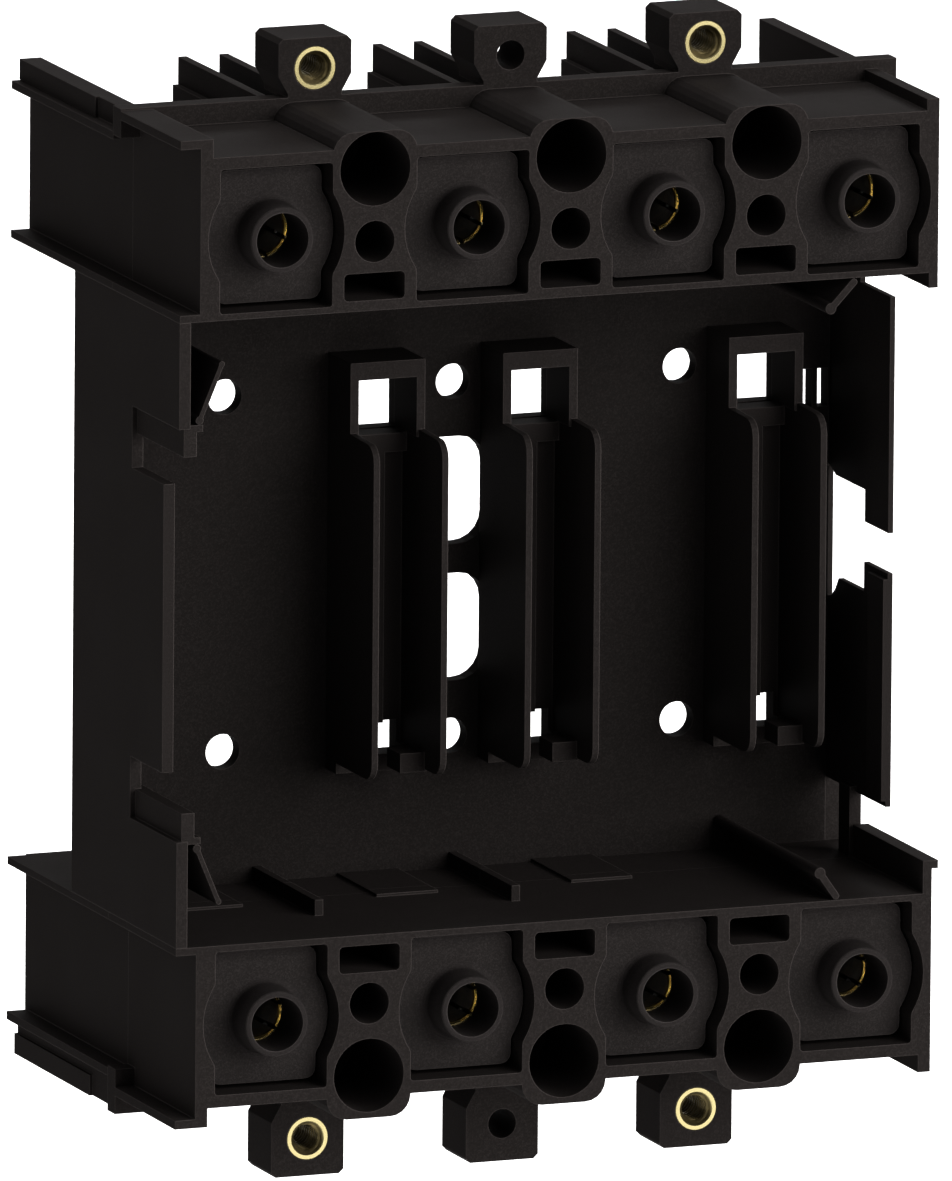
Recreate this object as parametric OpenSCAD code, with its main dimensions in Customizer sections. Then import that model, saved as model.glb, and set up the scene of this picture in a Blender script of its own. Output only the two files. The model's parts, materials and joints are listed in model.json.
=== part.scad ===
// Plug-in base for a four-pole moulded-case circuit breaker.
// Every module works in the pole frame: X across the poles, Y rearward from the front faces of the
// two socket blocks, Z up from the middle of the bay. placed() then moves the assembly so that the
// origin is the middle of the rear fixing pattern, on the back plate's rear face.

/* [Pole grid] */
// Distance between neighbouring poles
pole_pitch = 35; // [34.5:0.5:36]
// Height of a socket axis above or below the middle of the bay
socket_z = 66.5; // [66:0.5:67]
// Height of the bay faces of the blocks above or below the middle
bay_z = 53; // [52.5:0.5:53]
// Depth of the blocks from front to rear
block_depth = 80; // [78:1:84]

/* [Blocks] */
// Outer face of the blocks' outer walls above or below the middle
block_z = 80.6; // [80.4:0.1:81]
// Half width of the blocks
block_half_w = 66; // [66:0.5:67]
// Half width across the left flanges
flange_half_w = 69.6; // [69.4:0.1:70.4]
// Width of a cell between two columns
cell_w = 20; // [19.6:0.2:20.4]
// Radius of the round part of a cell
cell_r = 12.1; // [11.9:0.1:12.2]
// Radius of the guide barrels
barrel_r = 6.25; // [6:0.05:6.35]
// Height of the guide barrels' axes
barrel_z = 77; // [76.9:0.1:77.2]
// Radius of the breaker screw holes
screw_hole_r = 3.5; // [3:0.25:3.5]
// Height of the breaker screw holes
screw_hole_z = 64.7; // [64.5:0.1:64.9]
// Front face of the cross walls that carry the lugs
wall_y = 28; // [27.5:0.5:28.5]
// Thickness of the cross walls
wall_t = 3.5; // [3:0.25:4]

/* [Lugs] */
// Height of the upper lugs' holes
upper_lug_z = 89; // [88.8:0.2:93.6]
// Height of the lower lugs' holes below the middle
lower_lug_z = 93.5; // [89.6:0.1:94]
// Width of a lug
lug_w = 13; // [12.4:0.2:13.6]
// Depth of a lug
lug_depth = 11; // [10:0.5:12]
// Radius of the brass inserts
insert_r = 3.75; // [3.5:0.05:3.9]
// Radius of the insert's M5 thread
insert_thread_r = 2.1; // [2.1:0.1:2.5]
// Radius of the middle lugs' plain holes
lug_hole_r = 2.5; // [2.25:0.25:2.75]

/* [Bay] */
// Front face of the back plate
plate_y = 46; // [45.5:0.5:47]
// Thickness of the back plate
plate_t = 3; // [2.5:0.5:3]
// Across spacing of the rear fixing holes
fixing_dx = 81.8; // [80:0.2:82]
// Upright spacing of the rear fixing holes
fixing_dz = 60.6; // [60:0.2:61]
// How far the fixing pattern's middle lies to the left of the pole grid's middle
fixing_shift = 2.9; // [2.7:0.1:3.1]
// Radius of the rear fixing holes
fixing_r = 3; // [2.75:0.25:3.25]

/* [Sockets] */
// Radius of the plug hole in a shroud
plug_r = 4.6; // [4.5:0.05:4.7]
// Outer radius of the shroud's nose
nose_r = 5.9; // [5.8:0.1:6.1]
// How far the nose stands in front of the blocks
nose_out = 2.8; // [2.4:0.2:3.2]
// Front face of the shroud plates
shroud_y = 3.8; // [3.4:0.2:4]
// Radius of the plug hole in the contact
contact_r = 4.05; // [4:0.05:4.2]

/* [Terminals] */
// Width of the copper bars
bar_w = 17; // [16:0.5:17]
// Thickness of the copper bars
bar_t = 5; // [4.5:0.25:5]
// Radius of the terminal screws' M8 shanks
terminal_r = 4; // [3.5:0.1:4]
// Distance of the terminal screws from the front
terminal_y = 64; // [62:0.5:66]

/* [Hidden] */
$fn = 48;
poles = [-1.5, -0.5, 0.5, 1.5];
columns = [-1, 0, 1];
rear_y = block_depth;
wall_back = wall_y + wall_t;
wall_z = [84.2, 86.9];          // top of the cross walls and ribs: upper, lower
ridge_z = [83.4, 84.3];         // top of the barrel ridges
flange_z = [79.8, 81];          // outer face of the rear flanges
rail_z = [83.4, 87];            // top of the left rail and the wall inside it
rib_z = [81.8, 86.3];           // top of the ribs between the terminals
rib_end_z = [81.8, 87.5];       // top of the ribs' rear ends
right_z = [80.6, 86.5];         // top of the right outer wall near the cross wall
right_rear_z = [81.8, 87.5];    // top of the right outer wall behind its step
lip_z = [82.6, 83.6];           // top of the forward part of the right outer wall
flange_rear_y = rear_y - 0.8;
lug_z = [upper_lug_z, lower_lug_z];
lug_tip = [5.2, 6.4];           // from the hole's axis to the lug's end
cell_up = 12;
cell_down = 12.4;
cell_blend = 2;
shroud_gap = 0.9;
shroud_t = 3;
side_t = 1.6;
rib_x = 3.7;
rib_t = 1.5;
slot_h = 4.6;
slot_w = 10.8;
slot_z = 57.1;
contact_y = shroud_y + shroud_t;
contact_back = 24;
leg_t = 4;
bar_z = 57;
fit = 0.05;
left_wall_x = -69.6;
left_wall_t = 2;
right_wall_x = 65.2;
right_wall_t = 0.9;
guide_x = [-18.6, 8.8, 49.5];
guide_w = 13.4;
guide_foot = -32.6;             // lower end of the guides
plastic = [0.13, 0.12, 0.12];
shroud_black = [0.17, 0.16, 0.16];
brass = [0.82, 0.67, 0.36];
copper = [0.76, 0.47, 0.31];
steel = [0.70, 0.71, 0.73];

// ---- helpers ----

// Moves the pole frame so that the rear fixing pattern's middle is the origin.
module placed() translate([fixing_shift, -plate_y - plate_t, 0]) children();

// Side 0 is the upper block as drawn, side 1 the lower block as its mirror image.
module on_side(side) mirror([0, 0, side]) children();

module slab(x, y, z) translate([x[0], y[0], z[0]]) cube([x[1] - x[0], y[1] - y[0], z[1] - z[0]]);

// Pushes an X-Z outline rearward from y[0] to y[1].
module along_y(y) translate([0, y[1], 0]) rotate([90, 0, 0]) linear_extrude(y[1] - y[0]) children();

// Pushes a Y-Z outline across from x[0] to x[1].
module along_x(x) translate([x[0], 0, 0]) rotate([90, 0, 90]) linear_extrude(x[1] - x[0]) children();

module rod_y(x, z, r, y) translate([x, y[0], z]) rotate([-90, 0, 0]) cylinder(h = y[1] - y[0], r = r);

// Turns a profile of radius and depth about an axis that runs rearward through x, z.
module turned(x, z) translate([x, 0, z]) rotate([-90, 0, 0]) rotate_extrude() children();

function arc(cx, cy, r, a0, a1, n) =
    [for (i = [0:n]) [cx + r * cos(a0 + (a1 - a0) * i / n), cy + r * sin(a0 + (a1 - a0) * i / n)]];

function rounded(w, h, r) = concat(
    arc(w / 2 - r, h / 2 - r, r, 0, 90, 5), arc(r - w / 2, h / 2 - r, r, 90, 180, 5),
    arc(r - w / 2, r - h / 2, r, 180, 270, 5), arc(w / 2 - r, r - h / 2, r, 270, 360, 5));

// Outline of a cell or a shroud: a rectangle with a round middle, blended by arcs.
function keyed(half_w, up, down, r, corner, blend) =
    let (zc = sqrt(pow(r + blend, 2) - pow(half_w + blend, 2)), a = atan2(zc, half_w + blend))
    concat(
        arc(half_w - corner, corner - down, corner, -90, 0, 4),
        arc(half_w + blend, -zc, blend, 180, 180 - a, 4),
        arc(0, 0, r, -a, a, 12),
        arc(half_w + blend, zc, blend, 180 + a, 180, 4),
        arc(half_w - corner, up - corner, corner, 0, 90, 4),
        arc(corner - half_w, up - corner, corner, 90, 180, 4),
        arc(-half_w - blend, zc, blend, 0, -a, 4),
        arc(0, 0, r, 180 - a, 180 + a, 12),
        arc(-half_w - blend, -zc, blend, a, 0, 4),
        arc(corner - half_w, corner - down, corner, 180, 270, 4));

// ---- socket blocks ----

module block_outline(side) {
    difference() {
        union() {
            translate([-block_half_w, bay_z]) square([2 * block_half_w, block_z - bay_z]);
            for (c = columns)
                translate([c * pole_pitch, (block_z + ridge_z[side]) / 2 - 4])
                    polygon(rounded(15, ridge_z[side] - block_z + 8, 3.6));
        }
        for (p = poles)
            translate([p * pole_pitch, socket_z])
                polygon(keyed(cell_w / 2, cell_up, cell_down, cell_r, 0.6, cell_blend));
    }
}

// Lug with chamfered shoulders, carried by the cross wall.
module lug(side) {
    root = wall_z[side] - 0.4;
    tip = lug_z[side] + lug_tip[side];
    half = lug_w / 2;
    along_y([wall_y, wall_y + lug_depth])
        polygon([[-half + 1.7, root], [-half + 1.7, root + 1], [-half, root + 4], [-half, tip - 0.8],
                 [-half + 0.8, tip], [half - 0.8, tip], [half, tip - 0.8], [half, root + 4],
                 [half - 1.7, root + 1], [half - 1.7, root]]);
    slab([-half + 1.7, half - 1.7], [wall_y, wall_back], [root - 2, root + 1]);
    slab([-2.4, 2.4], [wall_y + 1, wall_y + lug_depth], [block_z - 2, root + 1]);
}

// Lips and flanges along the forward part of the left and right side walls.
module forward_lips(side) {
    slab([-flange_half_w, -block_half_w + 1], [0, wall_y], [82.3, 83.8]);
    slab([-block_half_w, -block_half_w + 2.2], [0, wall_y], [block_z - 1, 83.8]);
    slab([block_half_w - 2.2, block_half_w], [0, wall_y], [block_z - 1, lip_z[side]]);
    slab([-flange_half_w, -block_half_w + 1], [0, wall_back], [bay_z, bay_z + 1.3]);
    if (side == 0)
        slab([block_half_w - side_t, block_half_w], [0, wall_y], [bay_z - 2.6, bay_z + 1]);
    else {
        slab([block_half_w - side_t, block_half_w], [0, wall_back], [bay_z - 5.6, bay_z + 1]);
        slab([block_half_w - 1, block_half_w + 1.1], [0, wall_back], [bay_z - 5.6, bay_z - 4.2]);
    }
}

module cross_wall(side) {
    slab([-flange_half_w, 69.5], [wall_y, wall_back], [block_z - 1.4, wall_z[side]]);
    slab([-block_half_w, block_half_w], [wall_y, wall_back], [bay_z, block_z]);
    for (c = columns) translate([c * pole_pitch, 0, 0]) lug(side);
}

// Ribs on the bay faces, from y[0] to y[1], that the breaker slides on.
module bay_ribs(y) for (x = [-37.5, -2.2]) slab([x - 0.75, x + 0.75], y, [bay_z - 2.7, bay_z + 0.5]);

// Raised pads on the bay faces, under the breaker's edge.
module bay_pads(y) for (p = [-1.5, -0.5, 0.5])
    slab([p * pole_pitch - 5.5, p * pole_pitch + 5.5], y, [bay_z - 0.5, bay_z + 0.5]);

module block(side) color(plastic) placed() on_side(side) difference() {
    union() {
        along_y([0, wall_y]) block_outline(side);
        forward_lips(side);
        cross_wall(side);
        bay_ribs([17, wall_back]);
        bay_pads([wall_y - 0.3, wall_back]);
    }
    for (c = columns) {
        rod_y(c * pole_pitch, barrel_z, barrel_r, [-1, 24]);
        rod_y(c * pole_pitch, screw_hole_z, screw_hole_r, [-1, wall_back + 1]);
        translate([c * pole_pitch, 0, slot_z]) along_y([-1, 20]) polygon(rounded(slot_w, slot_h, 0.8));
        rod_y(c * pole_pitch, lug_z[side], c == 0 ? lug_hole_r : insert_r, [wall_y - 1, wall_y + lug_depth + 1]);
        rod_y(c * pole_pitch, slot_z, 1.2, [22, wall_back + 1]);
    }
    for (p = poles) {
        slab([p * pole_pitch - bar_w / 2 - 0.3, p * pole_pitch + bar_w / 2 + 0.3], [wall_y - 1, wall_back + 1],
             [bar_z - 0.3, bar_z + bar_t + 0.3]);
        rod_y(p * pole_pitch, socket_z, 3.2, [wall_y - 1, wall_back + 1]);
    }
}

// ---- terminal housings behind the cross walls ----

module terminal_housing(side) color(plastic) placed() on_side(side) difference() {
    union() {
        slab([-block_half_w, block_half_w], [wall_back, rear_y], [bay_z, bay_z + 2]);
        slab([-flange_half_w, -block_half_w + 1], [wall_back, flange_rear_y], [bay_z, bay_z + 1.3]);
        bay_ribs([wall_back, plate_y]);
        bay_pads([wall_back, plate_y]);
        slab([-block_half_w, -block_half_w + 2.6], [wall_back, rear_y], [bay_z, flange_z[side]]);
        slab([-67.6, -block_half_w + 1.6], [wall_back, flange_rear_y], [flange_z[side] - 1.4, rail_z[side]]);
        slab([-flange_half_w, -block_half_w + 1], [wall_back, flange_rear_y], [flange_z[side] - 1.4, flange_z[side]]);
        slab([-68.2, -67], [43.6, flange_rear_y], [rail_z[side] - 3.5, rail_z[side]]);
        slab([block_half_w - 0.5, 68.2], [wall_back, 43], [bay_z, right_z[side]]);
        slab([block_half_w - 0.5, 68.2], [42, rear_y], [bay_z, right_rear_z[side]]);
        for (c = columns) translate([c * pole_pitch, 0, 0]) {
            for (s = [-1, 1]) {
                slab([s * rib_x - rib_t / 2, s * rib_x + rib_t / 2], [wall_back, rear_y - 8], [bay_z, rib_z[side]]);
                slab([s * rib_x - rib_t / 2, s * rib_x + rib_t / 2], [rear_y - 9, rear_y], [bay_z, rib_end_z[side]]);
                slab([s * (rib_x + 0.7) - 1, s * (rib_x + 0.7) + 1], [wall_back, rear_y], [bay_z, rib_z[side] - 4.7]);
            }
            slab([-rib_x, rib_x], [wall_back, wall_back + 2], [bay_z, 76]);
        }
        for (p = poles, y = [40, 72])
            slab([p * pole_pitch - 6, p * pole_pitch + 6], [y - 2, y + 2], [bay_z + 1, bar_z]);
    }
    for (c = columns) {
        rod_y(c * pole_pitch, screw_hole_z, screw_hole_r, [wall_back - 1, wall_back + 3]);
        rod_y(c * pole_pitch, slot_z, 1.6, [wall_back - 1, wall_back + 3]);
    }
}

// ---- bay: back plate and side walls ----

function fixing_xs() = [-fixing_dx / 2 - fixing_shift, -fixing_shift, fixing_dx / 2 - fixing_shift];

module window_outline() polygon(rounded(19, 18.4, 5));

module rear_plate() color(plastic) placed() difference() {
    slab([left_wall_x + left_wall_t, right_wall_x], [plate_y, plate_y + plate_t], [-bay_z, bay_z]);
    for (x = fixing_xs(), z = [-1, 1]) rod_y(x, z * fixing_dz / 2, fixing_r, [plate_y - 1, plate_y + plate_t + 1]);
    for (z = [-1, 1]) translate([-6.2, 0, z * 11.7]) along_y([plate_y - 1, plate_y + plate_t + 1]) window_outline();
    for (x = guide_x) {
        slab([x - 5.4, x + 5.4], [plate_y - 1, plate_y + plate_t + 1], [23.4, 33.7]);
        slab([x - 5.4, x + 5.9], [plate_y - 1, plate_y + plate_t + 1], [-33, -26.4]);
    }
    slab([58.6, right_wall_x + 1], [plate_y - 1, plate_y + plate_t + 1], [-11.4, 11.4]);
    for (x = [[59.8, 62], [63, 64.8]]) slab(x, [plate_y - 1, plate_y + plate_t + 1], [21.6, 28.2]);
}

// Left wall seen from the side, with two notches for the breaker's accessory leads.
module left_wall_outline() {
    middle = 24.5;
    notch = 35;
    notch_y = 21.8;
    polygon([[0, -bay_z], [0, -notch], [notch_y, -notch], [notch_y, -middle], [7, -middle],
             [7, middle], [notch_y, middle], [notch_y, notch], [0, notch], [0, bay_z],
             [plate_y + plate_t, bay_z], [plate_y + plate_t, -bay_z]]);
}

module left_side_wall() color(plastic) placed() {
    along_x([left_wall_x, left_wall_x + left_wall_t]) left_wall_outline();
    inner = left_wall_x + left_wall_t;
    for (s = [0, 1]) on_side(s) {
        slab([inner - 1, inner + 1.3], [0.4, 26], [30.2, 35.2]);
        slab([inner - 1, left_leaf[0][0] + 0.6], [0.4, 26], [34.4, left_leaf[0][1] - 0.75]);
    }
}

// Right wall seen from the side: an upper and a lower half around a deep stepped notch.
module right_wall_outline() {
    front = 19;
    rear = plate_y + plate_t;
    polygon([[front, 4.9], [front, 45.3], [32.5, 45.3], [32.5, bay_z], [rear, bay_z], [rear, -bay_z],
             [plate_y, -bay_z], [plate_y, -42], [37, -42], [37, -bay_z], [32.2, -bay_z], [32.2, -42],
             [front, -42], [front, -2], [29.7, -2], [29.7, -7], [41, -7], [42.7, -9.2], [44.4, -10.6], [plate_y, -10.8], [plate_y, 11.8], [42.7, 10.4],
             [29.6, 10.4], [29.6, 4.9]]);
}

module right_side_wall() color(plastic) placed() {
    along_x([right_wall_x, right_wall_x + right_wall_t]) right_wall_outline();
    slab([right_wall_x - 0.8, right_wall_x + 0.2], [19, 26], [-41, -3]);
    slab([right_wall_x - 1.2, right_wall_x + 0.2], [32.2, 37], [-bay_z, -41]);
    slab([right_wall_x, 68.2], [plate_y, plate_y + plate_t], [-bay_z, -41]);
}

// ---- connector guides ----

module guide_side_outline() {
    lip = 24.5;
    r = 3;
    polygon(concat([[plate_y, 25]], arc(lip + r, 24.5 - r, r, 90, 180, 5),
                   arc(lip + r, guide_foot + r, r, 180, 270, 5), [[plate_y, guide_foot]]));
}

module guide_channel(i) color(plastic) placed() translate([guide_x[i], 0, 0]) {
    half = guide_w / 2;
    head_y = 35.5;
    difference() {
        slab([-half, half], [head_y, plate_y], [23.4, 36.7]);
        slab([-half + 1.5, half - 1.5], [head_y - 1, plate_y + 1], [22, 33.7]);
    }
    for (s = [-1, 1]) translate([s * (half - 0.55), 0, 0]) along_x([-0.55, 0.55]) guide_side_outline();
    difference() {
        slab([-half, half], [41, plate_y], [guide_foot, 25]);
        slab([-half + 1.5, half - 1.5], [40, plate_y + 1], [23.2, 26]);
        slab([-half + 1.1, 4.8], [40, plate_y + 1], [-31.5, -26.2]);
        slab([half - 5, half - 1.1], [40, 43], [-30, 20]);
    }
    slab([-half, 3.5], [41, plate_y], [-34.4, guide_foot + 0.2]);
    slab([1.2, half - 0.8], [31.7, 37.8], [-33, -29.7]);
}

// ---- sprung latches ----

// X and height of the latches' corners, root first: left leaf, then the right latches by side.
left_leaf = [[-65.8, 36.3], [-61.9, 45.6]];
right_leaf = [[[50.9, 52.3], [46.8, 48]], [[48.7, 52.3], [45.8, 48.2]]];

module latch_bar(a, b, t, y) {
    angle = atan2(b[1] - a[1], b[0] - a[0]);
    reach = norm(b - a);
    translate([a[0], 0, a[1]]) rotate([0, -angle, 0]) slab([0, reach], y, [-t / 2, t / 2]);
}

module left_latch(side) color(plastic) placed() on_side(side) {
    y = [0.4, 26];
    rod_y(left_leaf[0][0], left_leaf[0][1], 0.7, y);
    latch_bar(left_leaf[0], left_leaf[1], 0.8, y);
    rod_y(left_leaf[1][0], left_leaf[1][1], 0.5, y);
}

module right_latch(side) color(plastic) placed() on_side(side) {
    y = [0, plate_y - 0.4];
    root = right_leaf[side][0];
    tip = right_leaf[side][1];
    rod_y(root[0], root[1], 0.6, y);
    latch_bar(root, tip, 1.2, y);
    rod_y(tip[0], tip[1], 0.95, y);
}

// ---- sockets ----

module shroud(side, p) color(shroud_black) placed() on_side(side) {
    x = p * pole_pitch;
    half = cell_w / 2 - shroud_gap + 0.3;
    difference() {
        union() {
            translate([x, 0, socket_z]) along_y([shroud_y, contact_y])
                polygon(keyed(half, cell_up - shroud_gap, cell_down - shroud_gap, cell_r - 0.55, 1.8, cell_blend));
            turned(x, socket_z) polygon(concat([[0, -nose_out]], arc(nose_r - 0.8, -nose_out + 0.5, 0.5, -90, 0, 3),
                arc(nose_r + 1.2, shroud_y - 1.2, 1.2, 180, 90, 4), [[9.1, 5], [8.6, 24], [0, 24]]));
            for (s = [-1, 1]) slab([x - 4, x + 4], [contact_y - 1, 20], [socket_z + s * 11 - 0.6, socket_z + s * 11 + 0.6]);
        }
        rod_y(x, socket_z, plug_r, [-nose_out - 1, contact_y + 1]);
        rod_y(x, socket_z, 7.3, [contact_y, 25]);
    }
}

// Sprung sleeve with six fingers that grips the breaker's plug pin.
module contact(side, p) color(brass) placed() on_side(side) {
    x = p * pole_pitch;
    difference() {
        turned(x, socket_z) polygon([
            [2.7, contact_back - 3], [contact_r + 0.6, contact_back - 3], [contact_r + 0.6, contact_y + 4.6],
            [contact_r, contact_y + 4], [contact_r, contact_y + 0.8], [contact_r + 0.4, contact_y + 0.1],
            [6.2, contact_y + 0.1], [6.5, contact_y + 0.6], [6.5, 10.4], [6.1, 10.4], [6.1, 11.4], [6.5, 11.4],
            [6.5, 15.4], [6.1, 15.4], [6.1, 16.4], [6.5, 16.4], [6.5, contact_back], [2.7, contact_back]]);
        translate([x, 0, socket_z]) for (a = [20, 80, 140]) rotate([0, a, 0])
            slab([-8, 8], [0, contact_back - 5], [-0.35, 0.35]);
    }
}

module terminal_bar(side, p) color(copper) placed() on_side(side) {
    x = p * pole_pitch;
    difference() {
        union() {
            slab([x - bar_w / 2, x + bar_w / 2], [contact_back, contact_back + leg_t], [bar_z, 75.5]);
            slab([x - bar_w / 2, x + bar_w / 2], [contact_back, rear_y - 4], [bar_z, bar_z + bar_t]);
        }
        rod_y(x, socket_z, 2.5 + fit, [contact_back - 1, contact_back + leg_t + 1]);
        translate([x, terminal_y, bar_z - 1]) cylinder(h = bar_t + 2, r = terminal_r + fit);
    }
}

module terminal_screw(side, p) color(steel) placed() on_side(side) translate([p * pole_pitch, terminal_y, 0])
    difference() {
        base = bar_z + bar_t + 1.6;
        union() {
            translate([0, 0, bar_z - 1]) cylinder(h = base - bar_z + 2, r = terminal_r);
            translate([0, 0, base]) cylinder(h = 7, r = 6.4);
        }
        translate([0, 0, base + 3]) cylinder(h = 5, r = 3.46, $fn = 6);
    }

module on_all_sockets() for (side = [0, 1], p = poles) on_side(side) translate([p * pole_pitch, 0, 0]) children();

module contact_springs() color(steel) placed() on_all_sockets()
    for (y = [10.9, 15.9]) translate([0, y, socket_z]) rotate([-90, 0, 0])
        rotate_extrude() translate([6.55, 0]) circle(0.4, $fn = 16);

module contact_screws() color(steel) placed() on_all_sockets() {
    rod_y(0, socket_z, 2.5, [contact_back - 3.2, wall_back - 0.5]);
    difference() {
        rod_y(0, socket_z, 4, [contact_back - 6, contact_back - 3]);
        translate([0, contact_back - 7, socket_z]) rotate([-90, 0, 0]) cylinder(h = 3, r = 2, $fn = 6);
    }
}

module terminal_washers() color(steel) placed() on_all_sockets()
    translate([0, terminal_y, bar_z + bar_t]) difference() {
        cylinder(h = 1.6, r = 7.5);
        translate([0, 0, -1]) cylinder(h = 4, r = 4.2);
    }

module threaded_inserts() color(brass) placed() for (side = [0, 1], c = [-1, 1]) on_side(side)
    difference() {
        rod_y(c * pole_pitch, lug_z[side], insert_r, [wall_y, wall_y + lug_depth]);
        rod_y(c * pole_pitch, lug_z[side], insert_thread_r, [wall_y - 1, wall_y + lug_depth + 1]);
    }

// Self-tapping screws that hold the terminal housings to the blocks' columns.
module housing_screws() color(steel) placed() for (side = [0, 1], c = columns) on_side(side) {
    rod_y(c * pole_pitch, slot_z, 1.2, [22.5, wall_back + 2.2]);
    rod_y(c * pole_pitch, slot_z, 2, [wall_back + 2, wall_back + 4]);
}

rear_plate();
left_side_wall();
right_side_wall();
block(0);  // upper_block
block(1);  // lower_block
terminal_housing(0);  // upper_terminal_housing
terminal_housing(1);  // lower_terminal_housing
guide_channel(0);  // left_guide_channel
guide_channel(1);  // middle_guide_channel
guide_channel(2);  // right_guide_channel
left_latch(0);  // upper_left_latch
left_latch(1);  // lower_left_latch
right_latch(0);  // upper_right_latch
right_latch(1);  // lower_right_latch
for (side = [0, 1], i = [0:3]) {
    level = side == 0 ? "upper" : "lower";
    shroud(side, poles[i]);
    contact(side, poles[i]);
    terminal_bar(side, poles[i]);
    terminal_screw(side, poles[i]);
}
contact_springs();
contact_screws();
terminal_washers();
threaded_inserts();
housing_screws();
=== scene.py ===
"""Plug-in base of a four-pole circuit breaker: looks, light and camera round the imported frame."""
import json
import math

import bpy
from mathutils import Matrix, Vector


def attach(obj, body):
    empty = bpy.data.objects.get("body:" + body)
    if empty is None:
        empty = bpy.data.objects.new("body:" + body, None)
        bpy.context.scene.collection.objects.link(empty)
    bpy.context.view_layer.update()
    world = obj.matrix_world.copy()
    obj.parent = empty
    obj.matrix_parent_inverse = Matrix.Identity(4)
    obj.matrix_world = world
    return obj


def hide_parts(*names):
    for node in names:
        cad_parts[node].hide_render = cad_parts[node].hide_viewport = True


MM = 0.001

# The part's own dimensions, in millimetres, in a frame centred on its grid of poles.
SHIFT = Vector((2.9, -49.0, 0.0))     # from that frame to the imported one
POLE_PITCH = 35.0
LUG_FACE_Y = 28.0
LUG_ROWS_Z = (89.0, -93.5)            # upper and lower lug holes

# In the imported frame, where the bright mouths of the brass parts end; past them the bores are
# darkened as painted shade.
CONTACT_RIM_Y = -41.8 * MM
INSERT_RIM_Y = -20.95 * MM

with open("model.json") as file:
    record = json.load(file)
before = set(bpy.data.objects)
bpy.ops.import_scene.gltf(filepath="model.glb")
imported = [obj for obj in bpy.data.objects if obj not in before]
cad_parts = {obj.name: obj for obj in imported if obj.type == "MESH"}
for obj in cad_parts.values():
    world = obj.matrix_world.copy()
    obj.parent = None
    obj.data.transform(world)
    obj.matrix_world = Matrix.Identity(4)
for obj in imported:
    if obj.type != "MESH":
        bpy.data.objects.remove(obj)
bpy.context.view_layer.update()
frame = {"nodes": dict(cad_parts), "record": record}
nodes = frame["nodes"]


# ---------------------------------------------------------------- camera

def add_camera():
    """A very long lens, from the front left and a little above: an almost parallel projection."""
    azimuth, elevation, roll = -21.46, 11.54, 0.447
    lens, sensor, frame_height = 1250.0, 36.0, 1181
    pixels_per_mm = 5.985
    aim = Vector((-5.70, -29.0, -0.10)) * MM
    turn = (Matrix.Rotation(math.radians(azimuth), 3, "Z")
            @ Matrix.Rotation(math.radians(90 - elevation), 3, "X")
            @ Matrix.Rotation(math.radians(roll), 3, "Z"))
    distance = lens / sensor * frame_height / pixels_per_mm * MM
    data = bpy.data.cameras.new("camera")
    data.lens = lens
    data.sensor_width = sensor
    data.clip_start, data.clip_end = 0.1, 60
    camera = bpy.data.objects.new("camera", data)
    camera.matrix_world = Matrix.Translation(aim + turn @ Vector((0, 0, distance))) @ turn.to_4x4()
    bpy.context.scene.collection.objects.link(camera)
    bpy.context.scene.camera = camera


# ---------------------------------------------------------------- materials

def new_material(name):
    material = bpy.data.materials.new(name)
    material.use_nodes = True
    tree = material.node_tree
    return material, tree, tree.nodes["Principled BSDF"]


def add_noise(tree, scale, detail=3.0, roughness=0.55):
    coords = tree.nodes.new("ShaderNodeTexCoord")
    noise = tree.nodes.new("ShaderNodeTexNoise")
    noise.inputs["Scale"].default_value = scale
    noise.inputs["Detail"].default_value = detail
    noise.inputs["Roughness"].default_value = roughness
    tree.links.new(coords.outputs["Object"], noise.inputs["Vector"])
    return noise.outputs["Fac"]


def map_range(tree, value, low, high, to_low, to_high):
    node = tree.nodes.new("ShaderNodeMapRange")
    node.inputs["From Min"].default_value = low
    node.inputs["From Max"].default_value = high
    node.inputs["To Min"].default_value = to_low
    node.inputs["To Max"].default_value = to_high
    tree.links.new(value, node.inputs["Value"])
    return node.outputs["Result"]


def mix_colour(tree, factor, a, b):
    node = tree.nodes.new("ShaderNodeMix")
    node.data_type = "RGBA"
    tree.links.new(factor, node.inputs["Factor"])
    for socket, value in ((node.inputs["A"], a), (node.inputs["B"], b)):
        if isinstance(value, tuple):
            socket.default_value = (*value, 1)
        else:
            tree.links.new(value, socket)
    return node.outputs["Result"]


def edge_mask(tree, radius):
    """0 on flat ground, up to 1 within radius of an edge."""
    bevel = tree.nodes.new("ShaderNodeBevel")
    bevel.samples = 4
    bevel.inputs["Radius"].default_value = radius
    geometry = tree.nodes.new("ShaderNodeNewGeometry")
    dot = tree.nodes.new("ShaderNodeVectorMath")
    dot.operation = "DOT_PRODUCT"
    tree.links.new(bevel.outputs["Normal"], dot.inputs[0])
    tree.links.new(geometry.outputs["Normal"], dot.inputs[1])
    return map_range(tree, dot.outputs["Value"], 0.98, 0.75, 0.0, 1.0), bevel.outputs["Normal"]


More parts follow.
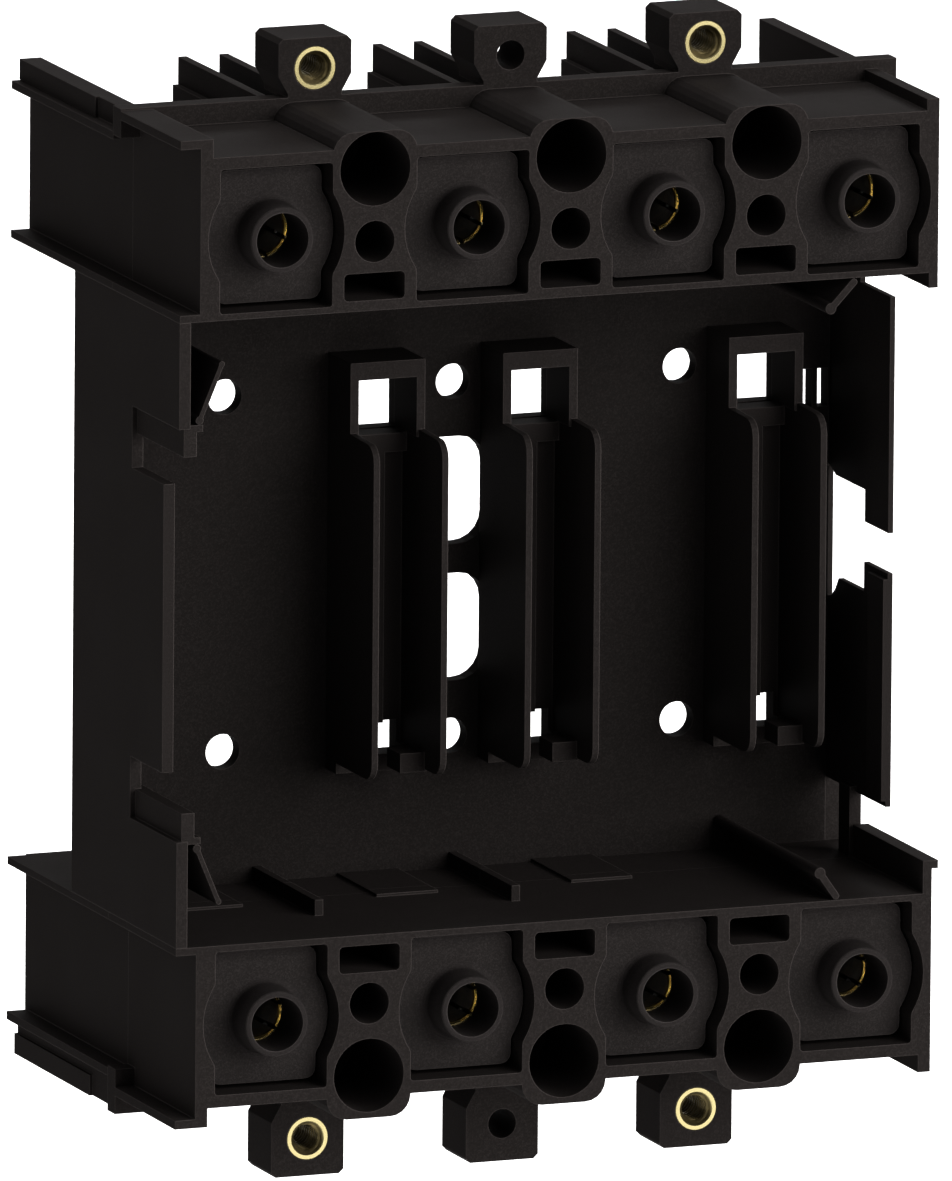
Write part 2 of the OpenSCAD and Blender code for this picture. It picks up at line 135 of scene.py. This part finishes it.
def black_plastic(name, colour, roughness, grain):
    """Moulded black plastic: spark-eroded grain, faint cloudiness, and edges lightened in colour as
    a painted highlight.
    """
    material, tree, shader = new_material(name)
    edges, soft_normal = edge_mask(tree, 0.3 * MM)
    speckle = add_noise(tree, 4500, 2.0)
    cloud = add_noise(tree, 60, 2.0)
    lighter = tuple(c * 1.9 for c in colour)
    # Painted highlight: the colour is five times lighter along edges, in place of the light that
    # edges catch.
    painted_edge_highlight = tuple(c * 5.0 for c in colour)
    ground = mix_colour(tree, map_range(tree, speckle, 0.45, 0.75, 0.0, 1.0), colour, lighter)
    tree.links.new(mix_colour(tree, edges, ground, painted_edge_highlight), shader.inputs["Base Color"])
    rough = map_range(tree, cloud, 0.3, 0.7, roughness - 0.04, roughness + 0.05)
    tree.links.new(rough, shader.inputs["Roughness"])
    shader.inputs["Specular IOR Level"].default_value = 0.002
    bump = tree.nodes.new("ShaderNodeBump")
    bump.inputs["Strength"].default_value = grain
    bump.inputs["Distance"].default_value = 0.05 * MM
    tree.links.new(add_noise(tree, 3800, 4.0, 0.6), bump.inputs["Height"])
    tree.links.new(soft_normal, bump.inputs["Normal"])
    tree.links.new(bump.outputs["Normal"], shader.inputs["Normal"])
    return material


def dark_bore_brass(name, colour, rim_y, deep, deeper):
    """Bright brass at the mouth; past rim_y the bore's colour is darkened as painted shade."""
    material, tree, shader = new_material(name)
    shader.inputs["Metallic"].default_value = 1.0
    coords = tree.nodes.new("ShaderNodeTexCoord")
    axes = tree.nodes.new("ShaderNodeSeparateXYZ")
    tree.links.new(coords.outputs["Object"], axes.inputs["Vector"])
    depth = map_range(tree, axes.outputs["Y"], rim_y, rim_y + 0.15 * MM, 0.0, 1.0)
    # Painted shade: the bore colour past the rim, mottled between two dark tones.
    painted_bore_shade = mix_colour(tree, map_range(tree, add_noise(tree, 500, 3.0), 0.35, 0.7, 0.0, 1.0),
                         deep, deeper)
    tree.links.new(mix_colour(tree, depth, colour, painted_bore_shade), shader.inputs["Base Color"])
    tree.links.new(map_range(tree, depth, 0.0, 1.0, 0.25, 0.5), shader.inputs["Roughness"])
    return material


def turned_metal(name, colour, roughness):
    """Bright turned metal with fine tool marks and slight tarnish."""
    material, tree, shader = new_material(name)
    shader.inputs["Metallic"].default_value = 1.0
    cloud = add_noise(tree, 300, 3.0)
    dull = tuple(c * 0.72 for c in colour)
    tree.links.new(mix_colour(tree, map_range(tree, cloud, 0.35, 0.7, 0.0, 1.0), colour, dull),
                   shader.inputs["Base Color"])
    rough = map_range(tree, cloud, 0.3, 0.7, roughness * 0.8, roughness * 1.3)
    tree.links.new(rough, shader.inputs["Roughness"])
    bump = tree.nodes.new("ShaderNodeBump")
    bump.inputs["Strength"].default_value = 0.25
    bump.inputs["Distance"].default_value = 0.03 * MM
    tree.links.new(add_noise(tree, 5000, 2.0), bump.inputs["Height"])
    tree.links.new(bump.outputs["Normal"], shader.inputs["Normal"])
    return material


def make_materials():
    return {
        "housing_black": black_plastic("housing_black", (0.0076, 0.0066, 0.0063), 0.6, 0.5),
        # Painted shade: the back plate's plastic is a tone darker than the housing, in place of
        # shade from the light.
        "plate_black_painted_shade": black_plastic("plate_black_painted_shade", (0.0056, 0.0049, 0.0047), 0.6, 0.5),
        "shroud_black": black_plastic("shroud_black", (0.0086, 0.0076, 0.0074), 0.55, 0.4),
        # Both brass looks paint shade into their bores past the rim.
        "contact_brass": dark_bore_brass("contact_brass", (0.83, 0.66, 0.30), CONTACT_RIM_Y,
                                         (0.03, 0.022, 0.012), (0.07, 0.05, 0.024)),
        "insert_brass": dark_bore_brass("insert_brass", (0.36, 0.31, 0.15), INSERT_RIM_Y,
                                        (0.06, 0.048, 0.022), (0.14, 0.11, 0.05)),
        "copper": turned_metal("copper", (0.80, 0.45, 0.30), 0.3),
        "zinc_steel": turned_metal("zinc_steel", (0.66, 0.67, 0.68), 0.3),
    }


# ---------------------------------------------------------------- CAD nodes

def dress_cad_nodes(materials):
    """Gives every CAD node its material and softens its edges. The back plate's colour is darkened
    as painted shade.
    """
    slot_of = {s["node"]: s["material_slot"] for s in frame["record"]["subparts"]}
    for name, obj in nodes.items():
        # The back plate gets the darker colour that paints shade on it.
        look = "plate_black_painted_shade" if name == "rear_plate" else slot_of[name]
        obj.data.materials.clear()
        obj.data.materials.append(materials[look])
        merge = obj.modifiers.new("flat faces", "DECIMATE")
        merge.decimate_type = "DISSOLVE"
        merge.angle_limit = math.radians(0.5)
        bevel = obj.modifiers.new("edges", "BEVEL")
        bevel.width = 0.12 * MM
        bevel.segments = 2
        bevel.limit_method = "ANGLE"
        bevel.angle_limit = math.radians(40)
        bevel.harden_normals = True
        bevel.use_clamp_overlap = True


# ---------------------------------------------------------------- visual pieces

def lathe_grid(rows, count, place):
    """Closed skin about an axis along Y through place. Each row is a depth and a radius function."""
    vertices, faces = [], []
    for depth, radius in rows:
        for i in range(count):
            angle = 2 * math.pi * i / count
            r = radius(i / count)
            vertices.append(place + Vector((r * math.cos(angle), depth, r * math.sin(angle))))
    size = len(rows)
    for a in range(size):
        b = (a + 1) % size
        for i in range(count):
            j = (i + 1) % count
            faces.append((a * count + i, a * count + j, b * count + j, b * count + i))
    return vertices, faces


def thread_radius(depth, minor, height, pitch, mouth):
    """Radius of the threaded bore and its countersunk mouth at one depth, by fraction of a turn."""
    root, flank_slope = 1.35, 3.6

    def radius(turn):
        phase = (depth / pitch - turn) % 1.0
        thread = minor + height * min(1.0, max(0.0, root - abs(phase - 0.5) * flank_slope))
        return max(thread, mouth - depth)
    return radius


def flat_radius(r):
    return lambda turn: r


def make_inserts(material):
    """Four brass inserts with countersunk mouths and a helical thread, flush with the lugs."""
    outer, mouth, minor, height = 3.74, 2.95, 2.1, 0.5
    chamfer, end_relief = 0.15, 0.35
    pitch, length = 1.0, 11.0
    rows_per_turn, points_round = 8, 56
    steps = int(length / pitch * rows_per_turn)
    rows = [(chamfer, flat_radius(outer)), (0.0, flat_radius(outer - chamfer)),
            (0.0, flat_radius(mouth))]
    for k in range(1, steps):
        depth = length * k / steps
        rows.append((depth, thread_radius(depth, minor, height, pitch, mouth)))
    rows += [(length, flat_radius(minor + end_relief)), (length, flat_radius(outer))]
    vertices, faces = [], []
    for x in (-POLE_PITCH, POLE_PITCH):
        for z in LUG_ROWS_Z:
            more, skins = lathe_grid(rows, points_round, Vector((x, LUG_FACE_Y, z)) + SHIFT)
            faces += [tuple(i + len(vertices) for i in face) for face in skins]
            vertices += more
    mesh = bpy.data.meshes.new("threaded_inserts_detailed")
    mesh.from_pydata([v * MM for v in vertices], [], faces)
    mesh.materials.append(material)
    for polygon in mesh.polygons:
        polygon.use_smooth = False
    mesh.update()
    piece = bpy.data.objects.new("threaded_inserts_detailed", mesh)
    bpy.context.scene.collection.objects.link(piece)
    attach(piece, "base")
    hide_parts("threaded_inserts")


# ---------------------------------------------------------------- studio

def add_area_light(name, place, target, size, power, colour=(1, 1, 1)):
    data = bpy.data.lights.new(name, "AREA")
    data.shape = "RECTANGLE"
    data.size, data.size_y = size
    data.energy = power
    data.color = colour
    light = bpy.data.objects.new(name, data)
    light.location = place
    light.rotation_mode = "QUATERNION"
    light.rotation_quaternion = (Vector(target) - Vector(place)).to_track_quat("-Z", "Y")
    bpy.context.scene.collection.objects.link(light)


def add_studio():
    world = bpy.data.worlds.new("studio")
    world.use_nodes = True
    world.node_tree.nodes["Background"].inputs["Color"].default_value = (1, 1, 1, 1)
    world.node_tree.nodes["Background"].inputs["Strength"].default_value = 0.35
    bpy.context.scene.world = world
    floor_z = -0.45
    half = 40
    mesh = bpy.data.meshes.new("floor")
    corners = [(-half, -half), (half, -half), (half, half), (-half, half)]
    mesh.from_pydata([(x, y, floor_z) for x, y in corners], [], [(0, 1, 2, 3)])
    floor = bpy.data.objects.new("floor", mesh)
    bpy.context.scene.collection.objects.link(floor)
    material, tree, shader = new_material("floor_paper")
    grain = map_range(tree, add_noise(tree, 40), 0.3, 0.7, 0.0, 1.0)
    paper = mix_colour(tree, grain, (0.9, 0.9, 0.9), (0.93, 0.93, 0.93))
    tree.links.new(paper, shader.inputs["Base Color"])
    shader.inputs["Roughness"].default_value = 0.9
    mesh.materials.append(material)
    warm_white = (1.0, 0.98, 0.97)
    add_area_light("front", (0.95, -1.65, 0.62), (0, 0, 0), (1.8, 1.4), 98, warm_white)
    add_area_light("top", (0.1, 0.35, 2.0), (0, 0, 0), (1.0, 1.0), 36)
    add_area_light("left", (-1.95, 0.20, 0.35), (0, 0, 0), (1.0, 1.0), 7)
    add_area_light("background", (0.85, 2.1, 1.2), (0.85, 2.1, floor_z), (1.4, 1.4), 66)
    bpy.context.scene.view_settings.view_transform = "Standard"


add_camera()
looks = make_materials()
dress_cad_nodes(looks)
make_inserts(looks["insert_brass"])
add_studio()
